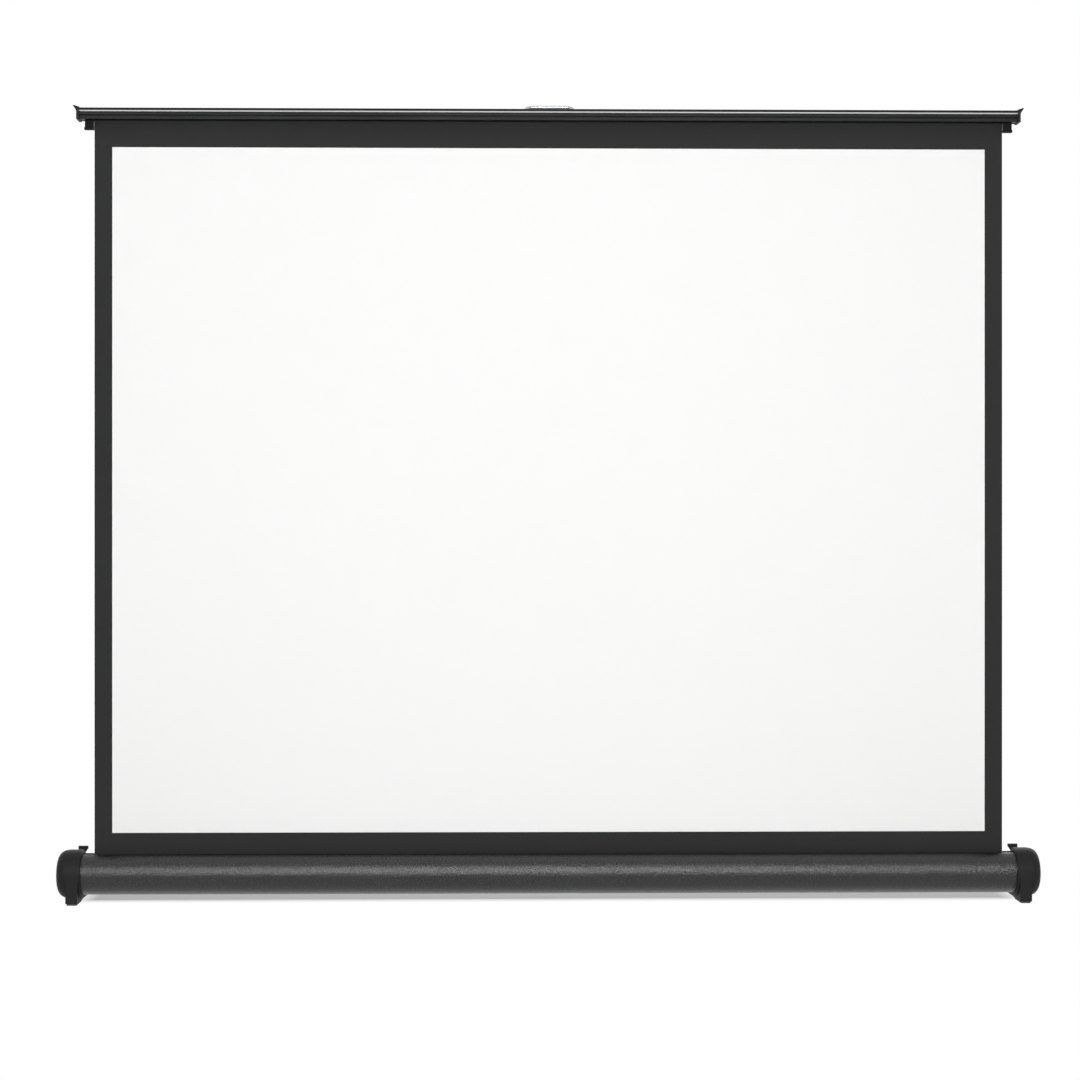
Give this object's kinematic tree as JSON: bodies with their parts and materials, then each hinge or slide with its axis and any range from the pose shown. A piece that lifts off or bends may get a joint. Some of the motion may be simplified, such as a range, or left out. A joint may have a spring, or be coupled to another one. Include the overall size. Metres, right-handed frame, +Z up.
{
  "type": "tabletop projection screen",
  "caption": "Tabletop pull-up projection screen: black-bordered white fabric drawn from a round slotted casing on feet by a ribbed top bar on a folding rear support.",
  "frame": {"origin": "on the table, in the middle of the footprint of feet and rear legs", "axes": "+X to the viewer's right along the casing, +Y away from the viewer, +Z up"},
  "size_m": [1.139, 0.128, 0.9321],
  "materials": {
    "tube_paint": "fine speckled black coat",
    "cap_plastic": "matt moulded black",
    "inner_plastic": "natural nylon",
    "pad_rubber": "matt",
    "bar_anodised": "black anodised, satin",
    "fabric": "matt white with a black border",
    "arm_aluminium": "satin",
    "bracket_steel": "zinc plated",
    "chrome_wire": "bright",
    "pin_steel": "zinc plated",
    "spring_steel": "oiled spring steel"
  },
  "bodies": {
    "casing": {"casing_tube": "tube_paint", "end_cap_left": "cap_plastic", "end_cap_right": "cap_plastic", "end_cover_left": "cap_plastic", "end_cover_right": "cap_plastic", "foot_pad_left": "pad_rubber", "foot_pad_right": "pad_rubber", "tube_plug_left": "inner_plastic", "tube_plug_right": "inner_plastic", "leg_pins": "pin_steel", "cap_screws": "pin_steel", "idle_pin": "pin_steel", "spring_shaft": "pin_steel", "shaft_collar": "pin_steel", "torsion_spring": "spring_steel", "support_base": "bracket_steel", "base_rivets": "pin_steel", "lower_pivot_pin": "pin_steel", "pivot_washer": "inner_plastic", "screen_fabric": "fabric"},
    "roller": {"roller_tube": "arm_aluminium", "roller_bush_left": "inner_plastic", "roller_bush_right": "inner_plastic", "leader_wrap": "fabric", "spring_anchor": "inner_plastic"},
    "lower_arm": {"lower_arm": "arm_aluminium", "elbow_pin": "pin_steel", "elbow_washers": "inner_plastic"},
    "upper_arm": {"upper_arm": "arm_aluminium"},
    "top_bar": {"top_bar": "bar_anodised", "bar_end_cap_left": "cap_plastic", "bar_end_cap_right": "cap_plastic", "bar_plug_left": "cap_plastic", "bar_plug_right": "cap_plastic", "hem_rod": "pin_steel", "top_bracket": "bracket_steel", "bar_rivets": "pin_steel", "upper_pivot_pin": "pin_steel", "upper_spacers": "inner_plastic"},
    "lift_handle": {"lift_handle": "chrome_wire"},
    "left_leg": {"swing_leg_left": "cap_plastic", "leg_tip_pad_left": "pad_rubber"},
    "right_leg": {"swing_leg_right": "cap_plastic", "leg_tip_pad_right": "pad_rubber"}
  },
  "joints": [
    {"name": "support_fold", "type": "hinge", "parent": "casing", "child": "lower_arm", "pos_m": [0, 0.0012, 0.033], "axis": [0, 1, 0], "range_deg": [0, 90.72], "deforming": ["screen_fabric"]},
    {"name": "elbow", "type": "hinge", "parent": "lower_arm", "child": "upper_arm", "pos_m": [-0.01509, 0.0012, 0.465], "axis": [0, 1, 0], "range_deg": [-182.44, 0]},
    {"name": "bar_level", "type": "hinge", "parent": "upper_arm", "child": "top_bar", "pos_m": [0, 0.0012, 0.897], "axis": [0, 1, 0], "range_deg": [0, 91.72]},
    {"name": "roller_spin", "type": "hinge", "parent": "casing", "child": "roller", "pos_m": [0, -0.0433, 0.033], "axis": [1, 0, 0], "range_deg": [-4425.34, 0]},
    {"name": "handle_lift", "type": "hinge", "parent": "top_bar", "child": "lift_handle", "pos_m": [0, -0.019, 0.917], "axis": [1, 0, 0], "range_deg": [0, 70]},
    {"name": "left_leg_swing", "type": "hinge", "parent": "casing", "child": "left_leg", "pos_m": [-0.55025, -0.019, 0.002], "axis": [0, 0, -1], "range_deg": [0, 90]},
    {"name": "right_leg_swing", "type": "hinge", "parent": "casing", "child": "right_leg", "pos_m": [0.55025, -0.019, 0.002], "axis": [0, 0, 1], "range_deg": [0, 90]}
  ],
  "couplings": [
    {"joint": "elbow", "follows": "support_fold", "ratio": -2},
    {"joint": "bar_level", "follows": "support_fold", "ratio": 1},
    {"joint": "roller_spin", "follows": "support_fold", "ratio": -48.725}
  ]
}
